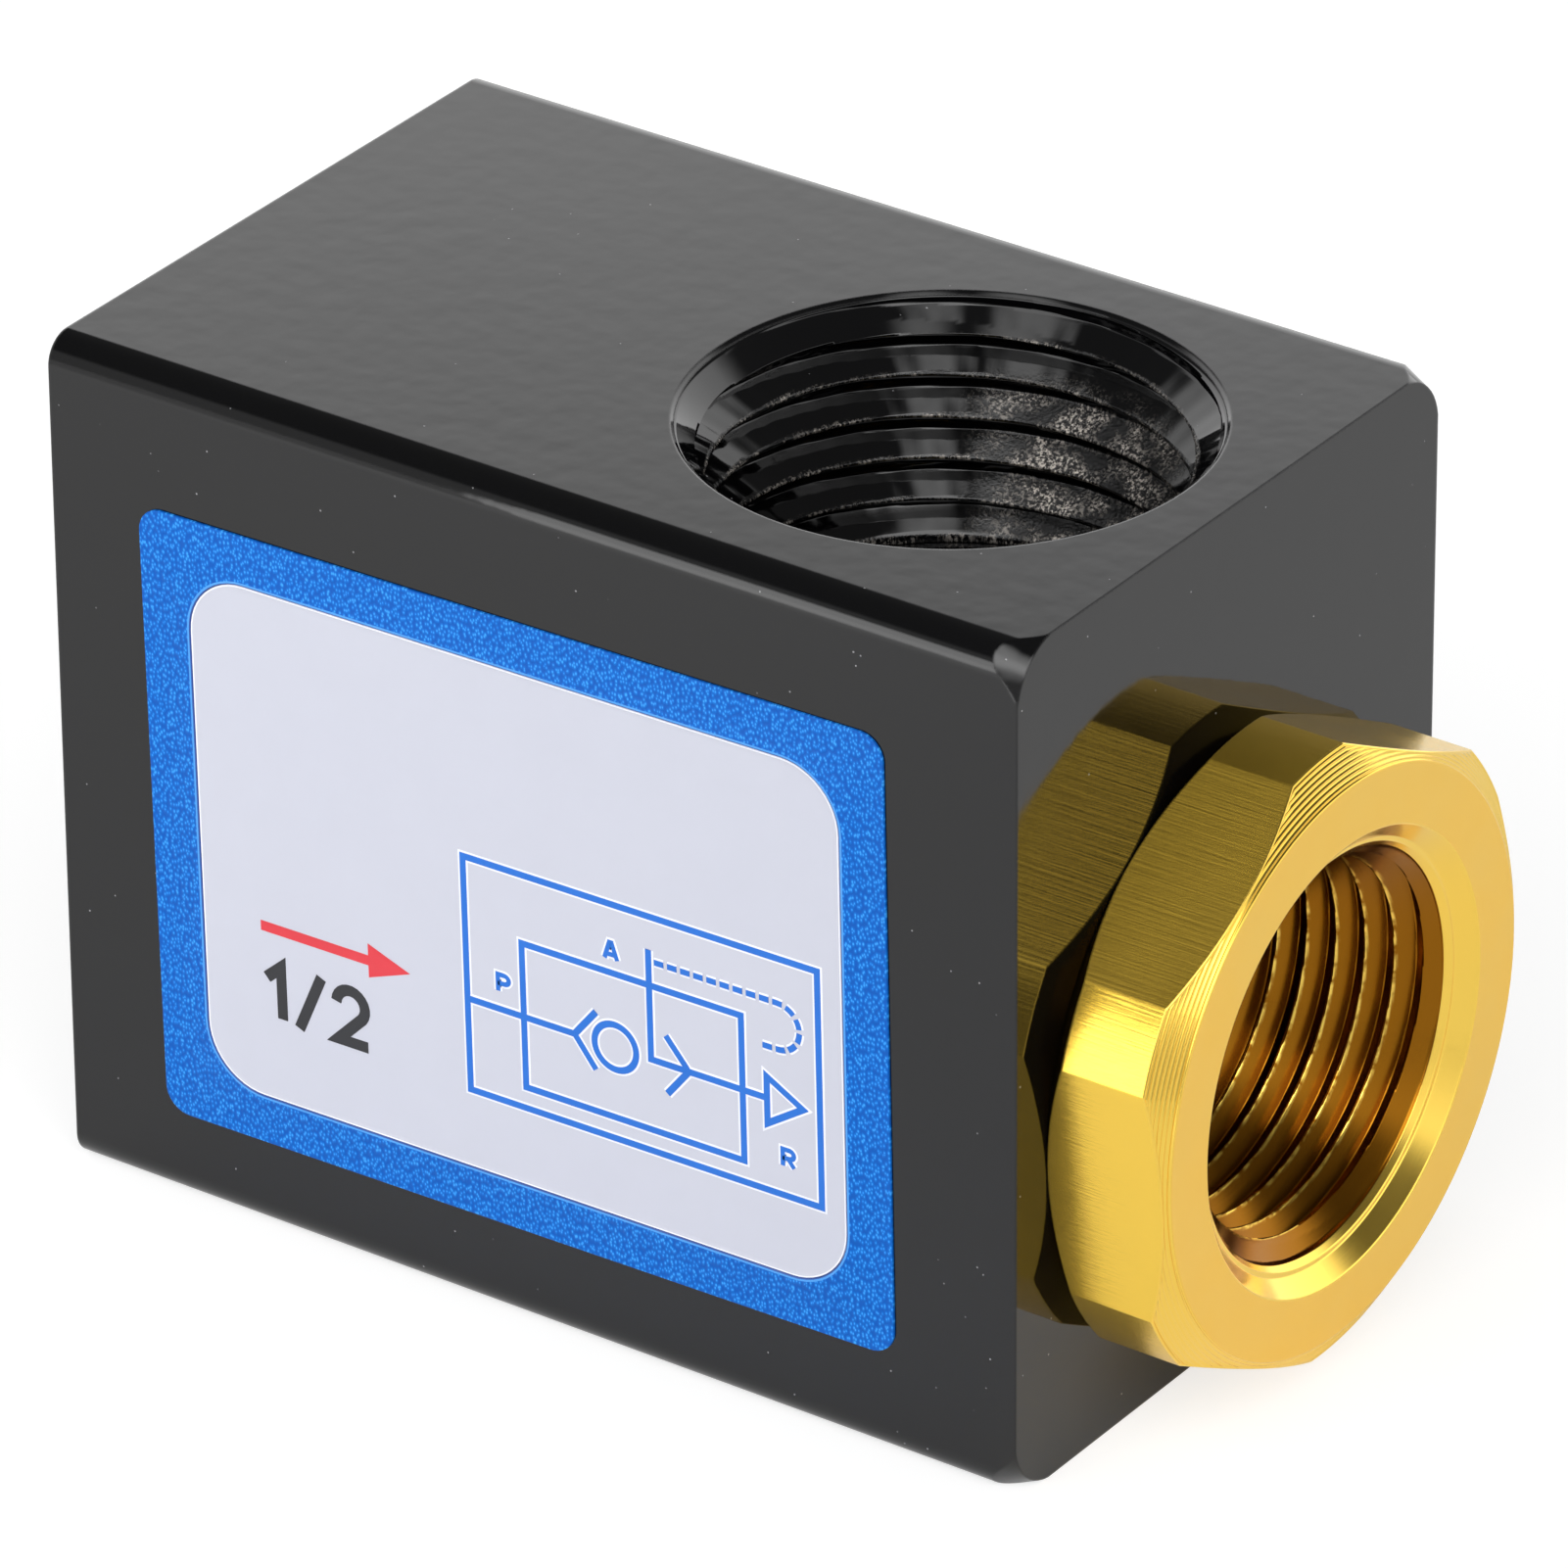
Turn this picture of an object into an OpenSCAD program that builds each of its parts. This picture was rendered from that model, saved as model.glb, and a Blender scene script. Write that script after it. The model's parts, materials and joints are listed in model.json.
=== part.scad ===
// Quick exhaust valve: a block with three threaded ports, a screwed exhaust cap and a rubber cup
// that shuttles between the supply seat and the exhaust seat.
// Millimetres. The origin is the middle of the block's base, +Z is up, +X points out of the exhaust cap
// and the label faces -Y.

/* [Block] */
// Length of the block, cut from the bar
body_l = 45; // [43:0.5:60]
// Width of the block, front to back
body_w = 28.5; // [27.5:0.5:40]
// Height of the block
body_h = 36.5; // [35:0.5:50]
// Radius of the bar's four long edges
edge_r = 1.2; // [0.4:0.1:1.8]
// Radius of the corners of the cap end's face
end_corner_r = 2.6; // [2:0.1:4]
// Length over which such a corner runs out along the bar
end_corner_l = 1.3; // [0.6:0.1:3]
// Height of the long axis of the bores above the base
axis_h = 14.25; // [13.5:0.25:16]

/* [Supply and outlet ports] */
// Major diameter of the thread in the supply and outlet ports
port_d = 20.955; // [18:0.005:22]
// Width of the bevel round the mouths of these ports
port_bevel = 0.15; // [0.05:0.05:1]
// Depth of the supply port
supply_depth = 10.3; // [8:0.1:11]
// Distance of the outlet port's axis from the cap end
outlet_inset = 12.8; // [12:0.1:16]
// Metal left between the outlet port's floor and the bore for the cap's neck
outlet_floor = 0.95; // [0.6:0.05:3]
// Diameter of the passage from the outlet port into the chamber
outlet_passage_d = 13; // [9:0.5:13.5]

/* [Chamber] */
// Diameter of the chamber in which the cup slides
chamber_d = 20.4; // [19.8:0.1:21]
// Metal between the supply port's floor and the chamber
web_t = 4.2; // [3:0.1:5]
// Diameter of the orifice in the supply seat
supply_orifice_d = 13; // [9:0.5:14]
// Width of the raised rim of the supply seat
seat_rim_w = 1.2; // [0.8:0.1:2]
// Height of that rim above the chamber's floor
seat_rim_h = 0.6; // [0.3:0.1:1.2]

/* [Exhaust cap] */
// Diameter of the round bar that the cap is turned from
cap_bar_d = 26.5; // [26:0.1:27.5]
// Width of the hexagon across its flats
hex_flats = 24.5; // [24.2:0.1:25.5]
// Height of the hexagon outside the block
hex_h = 5.4; // [4:0.1:9]
// Angle at which the tightened hexagon stands
cap_turn = 4; // [0:1:59]
// Radial width of the bevel round the cap's outer face
front_bevel_w = 1.35; // [0.6:0.05:2]
// Height of that bevel along the axis
front_bevel_h = 0.85; // [0.4:0.05:1.6]
// Radial width of the bevel on the back of the hexagon
back_bevel_w = 1.05; // [0.4:0.05:1.2]
// Height of that bevel along the axis
back_bevel_h = 0.85; // [0.4:0.05:1.6]
// Major diameter of the thread on the cap's neck
neck_d = 22; // [21.6:0.1:23]
// Length of the neck inside the block
neck_l = 6.2; // [5:0.1:6.4]
// Radial clearance of the neck's thread in the block
neck_gap = 0.05; // [0.02:0.01:0.1]
// Major diameter of the thread in the exhaust port
exhaust_d = 16.662; // [15:0.001:17]
// Depth at which the exhaust port's thread ends
exhaust_depth = 9.5; // [6:0.1:10]
// Width of the step that the second tool leaves inside the exhaust port's mouth
mouth_step = 0.15; // [0.05:0.05:0.3]
// Width of the bevel at the exhaust port's mouth
mouth_bevel = 0.7; // [0.3:0.05:1]
// Width of the bevel that leads from the step into the thread
lead_bevel = 0.27; // [0.1:0.01:0.4]
// Diameter of the plain bore behind the exhaust port's thread
drill_d = 14.6; // [13.4:0.1:15]
// Depth of that bore from the cap's face
drill_depth = 12.3; // [11.6:0.1:14]
// Angle between the axis and the cone that the drill leaves
drill_angle = 59; // [45:1:70]
// Outside diameter of the nozzle that carries the exhaust seat
nozzle_d = 16.8; // [16.2:0.1:17.2]
// Bore of the nozzle
nozzle_bore_d = 13; // [9:0.5:13.2]
// Bevel on the outside of the nozzle's tip
nozzle_bevel = 0.8; // [0.2:0.1:1]

/* [O-ring] */
// Thickness of the O-ring's cord
ring_cord_d = 1.8; // [1.4:0.1:1.8]
// Inside diameter of the O-ring
ring_in_d = 20.1; // [19:0.1:20.1]
// Clearance round the O-ring in its recess
ring_gap = 0.05; // [0.02:0.01:0.1]

/* [Cup] */
// Travel of the cup between the two seats
stroke = 3.2; // [2:0.1:3.6]
// Thickness of the cup's disc
disc_t = 3.2; // [2:0.1:4]
// Length of the cup's lip beyond the disc
lip_l = 3.8; // [3:0.1:4.2]
// Thickness of the lip at its root
lip_root_t = 0.75; // [0.5:0.05:0.8]
// Thickness of the lip at its edge
lip_edge_t = 0.45; // [0.3:0.05:0.5]
// Clearance of the lip's edge in the chamber
lip_gap = 0.15; // [0.1:0.05:0.3]
// Clearance between the lip's root and the nozzle
nozzle_gap = 0.45; // [0.3:0.05:0.5]
// Clearance left between the cup and a seat
seat_gap = 0.05; // [0.02:0.01:0.1]
// Bevel on the cup's supply side
cup_bevel = 0.9; // [0.3:0.1:1.2]

/* [Label] */
// Length of the label
label_l = 34.8; // [25:0.1:36]
// Height of the label
label_h = 26.7; // [20:0.1:28]
// Thickness of the label's film
label_t = 0.1; // [0.05:0.05:0.3]
// Place of the label's middle along the block
label_x = -0.65; // [-3:0.05:3]
// Height of the label's middle above the base
label_z = 17.6; // [16:0.1:20]
// Angle at which the label was stuck on
label_turn = 1; // [0:0.1:2]
// Radius of the label's corners
label_r = 1.1; // [0.5:0.1:4]

/* [Hidden] */
$fn = 96;
// Overlap that carries a cut through the face it opens on
cut = 1;
// Extra radius that keeps the end corners' cones from being tangent to the flats
corner_lift = 0.03;

port_r = port_d / 2;
chamber_r = chamber_d / 2;
orifice_r = supply_orifice_d / 2;
neck_r = neck_d / 2;
exhaust_r = exhaust_d / 2;
drill_r = drill_d / 2;
nozzle_r = nozzle_d / 2;
nozzle_bore_r = nozzle_bore_d / 2;
bar_r = cap_bar_d / 2;

// Places along the long axis, from the supply end to the cap's face
supply_x = -body_l / 2;
supply_floor_x = supply_x + supply_depth;
chamber_x = supply_floor_x + web_t;
supply_seat_x = chamber_x + seat_rim_h;
cup_x = supply_seat_x + seat_gap;
disc_x = cup_x + disc_t;
lip_x = disc_x + lip_l;
exhaust_seat_x = disc_x + stroke + seat_gap;
cap_end_x = body_l / 2;
neck_x = cap_end_x - neck_l;
cap_face_x = cap_end_x + hex_h;

outlet_x = cap_end_x - outlet_inset;
outlet_floor_z = axis_h + neck_r + outlet_floor;

// The O-ring's place between the neck's groove and the recess in the end face
ring_mid_r = (ring_in_d + ring_cord_d) / 2;
ring_groove_r = ring_in_d / 2 - ring_gap;
ring_recess_r = ring_in_d / 2 + ring_cord_d + ring_gap;
ring_recess_l = ring_cord_d + 2 * ring_gap;
ring_recess_x = cap_end_x - ring_recess_l;

// Solid of revolution about the long axis, from points given as radius and place along the axis
module turned(points) {
    translate([0, 0, axis_h])
        rotate([0, 90, 0])
            rotate_extrude()
                polygon(points);
}

// One long edge's waste: the corner of the square bar outside its round edge
module edge_waste() {
    difference() {
        translate([-body_l / 2 - cut, body_w / 2 - edge_r, body_h / 2 - edge_r])
            cube([body_l + 2 * cut, edge_r + cut, edge_r + cut]);
        translate([-body_l / 2 - 2 * cut, body_w / 2 - edge_r, body_h / 2 - edge_r])
            rotate([0, 90, 0])
                cylinder(h = body_l + 4 * cut, r = edge_r);
    }
}

// One end corner's waste: outside a cone that opens towards the middle of the bar
module end_corner_waste() {
    slope = (end_corner_r - edge_r) * (sqrt(2) - 1) / end_corner_l;
    run = 2 * end_corner_l;
    end_r = end_corner_r + corner_lift;
    inner_r = end_r + (run + cut) * slope;
    outer_r = end_r - 2 * cut * slope;
    translate([body_l / 2, body_w / 2 - end_corner_r, body_h / 2 - end_corner_r])
        difference() {
            translate([-run, 0, 0])
                cube([run + cut, end_corner_r + cut, end_corner_r + cut]);
            translate([-run - cut, 0, 0])
                rotate([0, 90, 0])
                    cylinder(h = run + 3 * cut, r1 = inner_r, r2 = outer_r);
        }
}

// The bar with its round long edges, cut square at the supply end and eased at the corners of the cap end
module bar() {
    translate([0, 0, body_h / 2])
        difference() {
            cube([body_l, body_w, body_h], center = true);
            for (back = [0, 1], low = [0, 1])
                mirror([0, back, 0])
                    mirror([0, 0, low]) {
                        edge_waste();
                        end_corner_waste();
                    }
        }
}

// The bores along the long axis: supply port, orifice with its raised seat, chamber, neck and ring recess
module long_bores() {
    turned([
        [0, supply_x - cut],
        [port_r + port_bevel + cut, supply_x - cut],
        [port_r, supply_x + port_bevel],
        [port_r, supply_floor_x],
        [orifice_r, supply_floor_x],
        [orifice_r, supply_seat_x],
        [orifice_r + seat_rim_w, supply_seat_x],
        [orifice_r + seat_rim_w + seat_rim_h, chamber_x],
        [chamber_r, chamber_x],
        [chamber_r, neck_x],
        [neck_r, neck_x],
        [neck_r, ring_recess_x],
        [ring_recess_r, ring_recess_x],
        [ring_recess_r, cap_end_x + cut],
        [0, cap_end_x + cut]
    ]);
}

// The outlet port in the top, with its passage down into the chamber
module outlet_bores() {
    translate([outlet_x, 0, 0])
        rotate_extrude()
            polygon([
                [0, axis_h],
                [outlet_passage_d / 2, axis_h],
                [outlet_passage_d / 2, outlet_floor_z],
                [port_r, outlet_floor_z],
                [port_r, body_h - port_bevel],
                [port_r + port_bevel + cut, body_h + cut],
                [0, body_h + cut]
            ]);
}

module valve_body() {
    color([0.10, 0.10, 0.11])
        difference() {
            bar();
            long_bores();
            outlet_bores();
        }
}

// The hexagon with its two turned bevels
module cap_hexagon() {
    intersection() {
        turned([
            [0, cap_end_x],
            [bar_r - back_bevel_w, cap_end_x],
            [bar_r, cap_end_x + back_bevel_h],
            [bar_r, cap_face_x - front_bevel_h],
            [bar_r - front_bevel_w, cap_face_x],
            [0, cap_face_x]
        ]);
        translate([cap_end_x - cut, 0, axis_h])
            rotate([0, 90, 0])
                rotate([0, 0, cap_turn])
                    cylinder(h = hex_h + 2 * cut, d = hex_flats / cos(30), $fn = 6);
    }
}

// The neck with the O-ring's groove, and the nozzle with the exhaust seat at its tip
module cap_neck() {
    turned([
        [0, exhaust_seat_x],
        [nozzle_r - nozzle_bevel, exhaust_seat_x],
        [nozzle_r, exhaust_seat_x + nozzle_bevel],
        [nozzle_r, neck_x],
        [neck_r - neck_gap - nozzle_bevel, neck_x],
        [neck_r - neck_gap, neck_x + nozzle_bevel],
        [neck_r - neck_gap, ring_recess_x],
        [ring_groove_r, ring_recess_x],
        [ring_groove_r, cap_end_x + cut],
        [0, cap_end_x + cut]
    ]);
}

// The passage through the cap: mouth bevel, step, lead bevel, thread, plain bore and nozzle bore
module cap_passage() {
    lead_r = exhaust_r + lead_bevel;
    step_x = cap_face_x - mouth_bevel;
    drill_x = cap_face_x - drill_depth;
    tip_x = drill_x - (drill_r - nozzle_bore_r) / tan(drill_angle);
    turned([
        [0, exhaust_seat_x - cut],
        [nozzle_bore_r, exhaust_seat_x - cut],
        [nozzle_bore_r, tip_x],
        [drill_r, drill_x],
        [drill_r, cap_face_x - exhaust_depth],
        [exhaust_r, cap_face_x - exhaust_depth],
        [exhaust_r, step_x - lead_bevel],
        [lead_r, step_x],
        [lead_r + mouth_step, step_x],
        [lead_r + mouth_step + mouth_bevel + cut, cap_face_x + cut],
        [0, cap_face_x + cut]
    ]);
}

module exhaust_cap() {
    color([0.85, 0.68, 0.25])
        difference() {
            union() {
                cap_hexagon();
                cap_neck();
            }
            cap_passage();
        }
}

module cap_o_ring() {
    color([0.05, 0.05, 0.05])
        translate([ring_recess_x + ring_recess_l / 2, 0, axis_h])
            rotate([0, 90, 0])
                rotate_extrude()
                    translate([ring_mid_r, 0])
                        circle(d = ring_cord_d);
}

// The cup: a disc that closes a seat on either side, with a lip that opens towards the exhaust
module valve_cup() {
    root_in_r = nozzle_r + nozzle_gap;
    root_r = root_in_r + lip_root_t;
    lip_r = chamber_r - lip_gap;
    color([0.20, 0.20, 0.22])
        turned([
            [0, cup_x],
            [root_r - cup_bevel, cup_x],
            [root_r, cup_x + cup_bevel],
            [root_r, disc_x],
            [lip_r, lip_x],
            [lip_r - lip_edge_t, lip_x],
            [root_in_r, disc_x],
            [0, disc_x]
        ]);
}

// One corner's waste of the label, outside its round corner
module label_corner_waste() {
    translate([label_l / 2 - label_r, label_h / 2 - label_r])
        difference() {
            square(label_r + cut);
            circle(label_r);
        }
}

module label() {
    color([0.12, 0.42, 0.88])
        translate([label_x, -body_w / 2, label_z])
            rotate([90, -label_turn, 0])
                linear_extrude(label_t)
                    difference() {
                        square([label_l, label_h], center = true);
                        for (left = [0, 1], low = [0, 1])
                            mirror([left, 0, 0])
                                mirror([0, low, 0])
                                    label_corner_waste();
                    }
}

valve_body();
exhaust_cap();
cap_o_ring();
valve_cup();
label();
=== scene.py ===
"""Looks of a quick exhaust valve: enamelled block, gold anodised cap, rubber seals and a printed label.

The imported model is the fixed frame. The block, the O-ring and the cup keep their solids and get their
finishes here. The exhaust cap, the threads of the two ports in the block and the label are surfaces worked
out on grids. Sizes are in millimetres, and points that go into a mesh are in metres.
"""
import json
import logging
import math
from collections.abc import Callable
from dataclasses import dataclass, field
from enum import Enum
from functools import partial
from typing import Any

import bpy
import numpy as np
from mathutils import Matrix, Vector


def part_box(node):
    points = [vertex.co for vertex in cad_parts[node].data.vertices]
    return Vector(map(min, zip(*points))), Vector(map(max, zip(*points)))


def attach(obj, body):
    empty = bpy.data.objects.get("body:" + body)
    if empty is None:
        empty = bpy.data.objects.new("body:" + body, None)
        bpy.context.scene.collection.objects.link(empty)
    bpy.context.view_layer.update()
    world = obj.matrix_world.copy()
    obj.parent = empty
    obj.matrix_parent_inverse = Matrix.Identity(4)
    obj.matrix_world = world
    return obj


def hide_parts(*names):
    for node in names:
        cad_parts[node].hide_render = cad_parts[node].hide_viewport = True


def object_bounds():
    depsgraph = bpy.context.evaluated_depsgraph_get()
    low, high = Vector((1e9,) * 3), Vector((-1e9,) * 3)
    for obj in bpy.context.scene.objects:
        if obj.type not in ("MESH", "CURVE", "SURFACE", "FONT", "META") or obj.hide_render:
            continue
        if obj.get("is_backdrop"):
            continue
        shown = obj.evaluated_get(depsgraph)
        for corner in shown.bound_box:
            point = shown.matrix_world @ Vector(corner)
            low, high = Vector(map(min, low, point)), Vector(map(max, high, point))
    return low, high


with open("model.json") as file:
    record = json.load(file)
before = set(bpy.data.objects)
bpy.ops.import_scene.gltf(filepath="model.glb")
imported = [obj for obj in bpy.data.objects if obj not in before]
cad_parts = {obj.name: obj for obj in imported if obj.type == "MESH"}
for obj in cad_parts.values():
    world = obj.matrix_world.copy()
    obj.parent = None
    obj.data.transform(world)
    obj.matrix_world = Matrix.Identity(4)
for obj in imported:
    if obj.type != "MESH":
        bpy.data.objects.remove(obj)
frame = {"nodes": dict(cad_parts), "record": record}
cad_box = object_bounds()

MM = 0.001
FULL_TURN = 2 * math.pi
PHOTO_PIXELS = 1601
SHARP_ANGLE = math.radians(38)
# Attribute that says where bright metal shows, from 0 to 1: bare metal through thin enamel, and a painted
# glint along thread crests
BARE_AND_GLINT = "bare"
# Waves of an uneven coat: weight, then waves round a bore and radians for each millimetre of the two factors
COAT_WAVES = ((1.0, 3, 2.1, 7, 1.3), (0.3, 23, 5.0, 31, 3.0))
# Smallest length on the label: a corner's least radius, or how far one layer sinks into or clears another
HAIR = 0.01

Array = np.ndarray
Node = bpy.types.Node
Socket = bpy.types.NodeSocket
AddNode = Callable[[str, dict[Any, Any]], Node]
log = logging.getLogger("valve")


def srgb(code: str) -> tuple[float, float, float, float]:
    """Turns a hex colour into linear light.

    Args:
        code: Colour as written for a screen, such as "#808080".

    Returns:
        Linear red, green and blue, with an alpha of 1.
    """
    written = np.array([int(code[i:i + 2], 16) for i in (1, 3, 5)]) / 255
    linear = np.where(written <= 0.04045, written / 12.92, ((written + 0.055) / 1.055) ** 2.4)
    return (*linear.tolist(), 1.0)


def per_mm(size: float) -> float:
    """Scale of a texture on metre coordinates whose features are this many millimetres wide."""
    return 1 / (size * MM)


def in_use(sockets: Any, name: str = "") -> Socket:
    """Finds a node's first socket that is in use, of that name where one is given."""
    return next(socket for socket in sockets if socket.enabled and name in ("", socket.name))


def add_node(tree: bpy.types.NodeTree, kind: str, settings: dict[Any, Any]) -> Node:
    """Adds one shader node with its settings and links.

    Args:
        tree: Tree that the node goes into.
        kind: Blender's name for the type of node, without the prefix that all of them share.
        settings: By property name, input name or input number: a value, an output socket to link there, or
            a node whose first output is linked.

    Returns:
        The new node.
    """
    node = tree.nodes.new("ShaderNode" + kind)
    for key, value in settings.items():
        if isinstance(key, str) and hasattr(node, key):
            setattr(node, key, value)
            continue
        socket = in_use(node.inputs, key) if isinstance(key, str) else node.inputs[key]
        source = in_use(value.outputs) if isinstance(value, Node) else value
        if isinstance(source, Socket):
            tree.links.new(source, socket)
        else:
            socket.default_value = source
    return node


@dataclass(frozen=True)
class Finish:
    """A finish of one surface, which makes its own material.

    Attributes:
        name: Name of the material: what it is and how its surface was made.
    """

    name: str

    def material(self) -> bpy.types.Material:
        """Makes the material, or finds it if another piece has it already.

        Returns:
            The material of this finish.
        """
        found = bpy.data.materials.get(self.name)
        if found:
            return found
        made = bpy.data.materials.new(self.name)
        made.use_nodes = True
        made.node_tree.nodes.clear()
        add = partial(add_node, made.node_tree)
        add("OutputMaterial", {"Surface": self.surface(add)})
        return made

    def surface(self, add: AddNode) -> Node:
        """Adds the shader's nodes; each finish has its own."""
        raise NotImplementedError


@dataclass(frozen=True)
class GlossEnamel(Finish):
    """Stoved gloss enamel, sprayed over cut and bored aluminium bar.

    It gives the eye a deep black, glassy skin that mirrors what stands before it, with a faint orange peel,
    a few specks of dust, and a thin light line where the coat draws round a cut edge. In the threads the coat
    is thin, and the attribute "bare" says where grains of bright metal come through it; along the crests that
    bright metal is a painted highlight, which stands in for glints on the enamel.
    """

    name: str = "stoved_gloss_black_enamel"
    colour: str = "#050506"
    dust_colour: str = "#8E8E90"
    metal_colour: str = "#CFC7BE"
    roughness: tuple[float, float] = (0.035, 0.07)
    metal_roughness: float = 0.42
    peel_size: float = 1.3
    peel_depth: float = 0.012
    cloud_size: float = 9.0
    edge_radius: float = 0.14
    dust_spacing: float = 1.1
    dust_radius: float = 0.05
    dust_share: float = 0.55
    grain_size: float = 0.14
    grain_depth: float = 0.08
    patch_size: float = 1.4

    def surface(self, add: AddNode) -> Node:
        """Adds one shader that goes from enamel to bare metal.

        Args:
            add: Adds a node to the material.

        Returns:
            The shader.
        """
        place = add("TexCoord", {}).outputs["Object"]
        bare = add("Attribute", {"attribute_name": BARE_AND_GLINT}).outputs["Fac"]
        tall = add("Mapping", {"Scale": (1, 1, 0.4), "Vector": place})
        grain = add("TexNoise", {"Scale": per_mm(self.grain_size), "Detail": 3, "Roughness": 0.7,
                                 "Vector": tall})
        grit = add("MapRange", {"From Min": 0.48, "From Max": 0.62, "Value": grain})
        patch = add("TexNoise", {"Scale": per_mm(self.patch_size), "Detail": 2, "Vector": place})
        left = add("MapRange", {"From Min": 0.38, "From Max": 0.6, "Value": patch})
        rubbed = add("Math", {"operation": "MULTIPLY", 0: bare, 1: left})
        metal = add("Math", {"operation": "MULTIPLY", "use_clamp": True, 0: rubbed, 1: grit})
        painted = add("Mix", {"data_type": "RGBA", "Factor": self.dust(add, place), "A": srgb(self.colour),
                              "B": srgb(self.dust_colour)})
        # Bright metal where the attribute says: bare metal on the flanks, and a painted highlight along the
        # crests
        colour = add("Mix", {"data_type": "RGBA", "Factor": metal, "A": painted,
                             "B": srgb(self.metal_colour)})
        cloud = add("TexNoise", {"Scale": per_mm(self.cloud_size), "Detail": 2, "Vector": place})
        gloss = add("MapRange", {"From Min": 0.3, "From Max": 0.7, "To Min": self.roughness[0],
                                 "To Max": self.roughness[1], "Value": cloud})
        rough = add("Mix", {"data_type": "FLOAT", "Factor": metal, "A": gloss, "B": self.metal_roughness})
        peel = add("TexNoise", {"Scale": per_mm(self.peel_size), "Detail": 1.5, "Vector": place})
        under = {"Height": peel}
        if self.edge_radius:
            under["Normal"] = add("Bevel", {"samples": 4, "Radius": self.edge_radius * MM})
        skin = add("Bump", {"Strength": 0.35, "Distance": self.peel_depth * MM, **under})
        tooth = add("Bump", {"Strength": bare, "Distance": self.grain_depth * MM, "Height": grain,
                             "Normal": skin})
        return add("BsdfPrincipled", {"Base Color": colour, "Metallic": metal, "Roughness": rough, "IOR": 1.5,
                                      "Normal": tooth})

    def dust(self, add: AddNode, place: Socket) -> Node:
        """Adds specks of dust: small dots at the middles of some of the cells that lie a spacing apart.

        Args:
            add: Adds a node to the material.
            place: Place on the piece, in metres.

        Returns:
            The share of dust.
        """
        cells = add("TexVoronoi", {"Scale": per_mm(self.dust_spacing), "Vector": place})
        reach = self.dust_radius / self.dust_spacing
        speck = add("MapRange", {"From Min": reach, "From Max": reach / 2, "Value": cells})
        chosen = add("Math", {"operation": "LESS_THAN", 0: cells.outputs["Color"], 1: self.dust_share})
        return add("Math", {"operation": "MULTIPLY", 0: speck, 1: chosen})


class Cut(Enum):
    """How a face of the cap was made."""

    FACED = "faced"
    DRAWN = "drawn"
    TURNED = "turned"
    BORED = "bored"


@dataclass(frozen=True)
class AnodisedGold(Finish):
    """Gold anodised aluminium, under a clear oxide skin.

    It gives the eye a yellow metal that goes amber where it mirrors itself. The faced end is a soft matt, the
    drawn sides are satin with faint lines along the bar, and the turned faces are bright with fine rings from
    the tool. In the bore the gold is painted darker and browner, as shade, and the attribute "bare" says
    where light gold along the thread's crests is a painted highlight.
    """

    cut: Cut
    colour: str
    roughness: float
    coat: float
    axis_z: float
    streak: tuple[float, float, float]
    relief: float
    metallic: float = 1.0
    # Light gold of the painted highlight on the bore's crests, where given
    painted_glint_colour: str = ""
    unevenness: float = 0.15
    cloud_size: float = 3.0
    chip_size: float = 0.5

    def surface(self, add: AddNode) -> Node:
        """Adds the metal, with a pattern that follows the way of the tool.

        Drawn and faced patterns lie in the part's own axes. Turned and bored ones are read at the place along
        the axis and the distance from it, so that they run in rings.

        Args:
            add: Adds a node to the material.

        Returns:
            The shader.
        """
        place = add("TexCoord", {}).outputs["Object"]
        way = add("Mapping", {"Location": (0, 0, -self.axis_z), "Vector": place})
        if self.cut in (Cut.TURNED, Cut.BORED):
            apart = add("SeparateXYZ", {"Vector": way}).outputs
            flat = add("CombineXYZ", {"Y": apart["Y"], "Z": apart["Z"]})
            radius = add("VectorMath", {"operation": "LENGTH", 0: flat})
            way = add("CombineXYZ", {"X": apart["X"], "Y": radius})
        run = add("Mapping", {"Scale": tuple(per_mm(size) for size in self.streak), "Vector": way})
        lines = add("TexNoise", {"Scale": 1, "Detail": 4, "Roughness": 0.65, "Vector": run})
        relief = add("Bump", {"Strength": 0.5, "Distance": self.relief * MM, "Height": lines})
        cloud = add("TexNoise", {"Scale": per_mm(self.cloud_size), "Detail": 2, "Vector": place})
        rough = add("MapRange", {"From Min": 0.3, "From Max": 0.7, "Value": cloud,
                                 "To Min": self.roughness * (1 - self.unevenness),
                                 "To Max": self.roughness * (1 + self.unevenness)})
        # In the bore: light gold chips along the crests are a painted highlight
        colour = self.painted_glint(add, place) if self.painted_glint_colour else srgb(self.colour)
        return add("BsdfPrincipled", {"Base Color": colour, "Metallic": self.metallic, "Roughness": rough,
                                      "Normal": relief, "Coat Weight": self.coat, "Coat Roughness": 0.15,
                                      "Coat IOR": 1.6})

    def painted_glint(self, add: AddNode, place: Socket) -> Node:
        """Adds painted highlights: light gold in chips where the attribute says, over the base colour.

        Args:
            add: Adds a node to the material.
            place: Place on the piece, in metres.

        Returns:
            The colour.
        """
        bare = add("Attribute", {"attribute_name": BARE_AND_GLINT}).outputs["Fac"]
        chips = add("TexNoise", {"Scale": per_mm(self.chip_size), "Detail": 2, "Vector": place})
        left = add("MapRange", {"From Min": 0.35, "From Max": 0.55, "Value": chips})
        share = add("Math", {"operation": "MULTIPLY", 0: bare, 1: left})
        return add("Mix", {"data_type": "RGBA", "Factor": share, "A": srgb(self.colour),
                           "B": srgb(self.painted_glint_colour)})


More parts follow.
